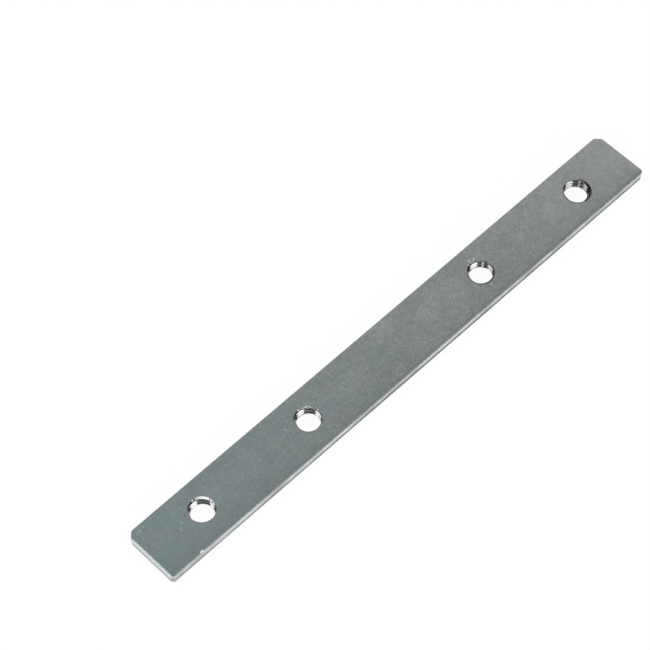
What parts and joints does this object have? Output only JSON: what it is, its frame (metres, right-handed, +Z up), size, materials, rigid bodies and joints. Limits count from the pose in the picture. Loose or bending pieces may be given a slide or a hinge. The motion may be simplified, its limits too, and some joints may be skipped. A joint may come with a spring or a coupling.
{
  "type": "profile connector plate",
  "caption": "Flat steel strip with tapped through holes in one line, which lies in the grooves of two profiles that meet end to end and clamps them in line by screws.",
  "frame": {"origin": "middle of the underside, where the plate lies flat", "axes": "+X along the length, +Y across the width to the long edge with the large corner cuts, +Z up, out of the top face with the rolled edges"},
  "size_m": [0.15, 0.0144, 0.003],
  "materials": {
    "zinc_steel": "dull zinc-plated steel with a fine mottled grain and bright blanked edges"
  },
  "bodies": {
    "root": {"connector_plate": "zinc_steel"}
  },
  "joints": []
}
